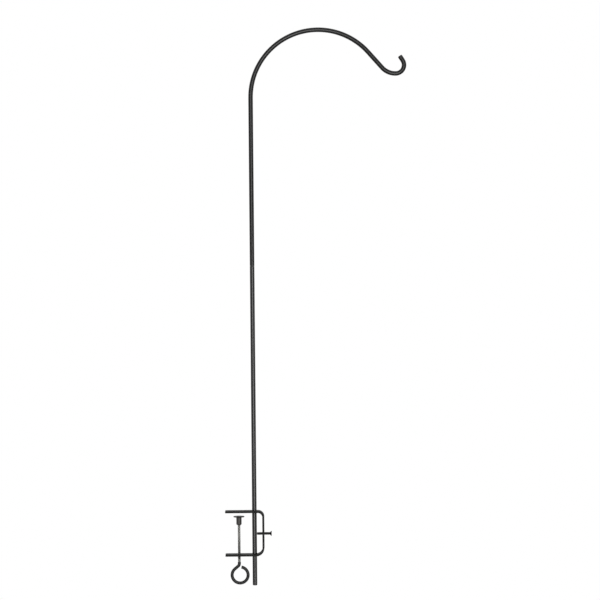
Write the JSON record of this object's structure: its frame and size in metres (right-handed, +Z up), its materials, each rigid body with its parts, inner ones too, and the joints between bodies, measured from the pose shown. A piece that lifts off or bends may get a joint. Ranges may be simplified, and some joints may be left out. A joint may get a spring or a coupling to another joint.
{
  "type": "deck hook",
  "caption": "Rail-clamp hook: a C bracket with an eye screw clamps a deck rail and carries a tall round pole with a crook and an open hook for a hanging planter.",
  "frame": {"origin": "underside of the bracket's upper arm, where it rests on the rail, on the axis of the clamp screw", "axes": "+Z up along the pole; +X from the jaw towards the bracket's back and the hook; +Y across the bar, away from the picture's camera"},
  "size_m": [0.3982, 0.0254, 1.198],
  "materials": {
    "bracket_coat": "satin black powder coat",
    "pole_coat": "satin black powder coat",
    "zinc_plate": "dull zinc plate on rolled thread",
    "black_hardware": "blackened steel"
  },
  "bodies": {
    "bracket": {"bracket": "bracket_coat"},
    "pole": {"lower_pole": "pole_coat", "pole_stud": "zinc_plate"},
    "crook": {"crook": "pole_coat"},
    "socket": {"swivel_socket": "black_hardware"},
    "clamp_screw": {"clamp_screw": "zinc_plate"},
    "plate": {"pressure_plate": "black_hardware"},
    "pole_screw": {"pole_screw": "black_hardware"}
  },
  "joints": [
    {"name": "pole_height", "type": "slide", "parent": "bracket", "child": "pole", "axis": [0, 0, 1], "range_m": [-0.885, 0.06]},
    {"name": "crook_turn", "type": "hinge", "parent": "pole", "child": "crook", "pos_m": [0.0333, 0, 0.5295], "axis": [0, 0, 1], "continuous": true},
    {"name": "clamp_travel", "type": "slide", "parent": "bracket", "child": "socket", "axis": [0, 0, 1], "range_m": [-0.062, 0.0064]},
    {"name": "clamp_turn", "type": "hinge", "parent": "socket", "child": "clamp_screw", "pos_m": [0, 0, -0.1097], "axis": [0, 0, 1], "range_deg": [-17550, 1800]},
    {"name": "plate_rock", "type": "hinge", "parent": "socket", "child": "plate", "pos_m": [0, 0, -0.0087], "axis": [0, 1, 0], "range_deg": [-5, 5]},
    {"name": "pole_screw_travel", "type": "slide", "parent": "bracket", "child": "pole_screw", "axis": [1, 0, 0], "range_m": [0, 0.012]}
  ],
  "couplings": [
    {"joint": "clamp_travel", "follows": "clamp_turn", "m_per_rad": 0.00020213}
  ]
}
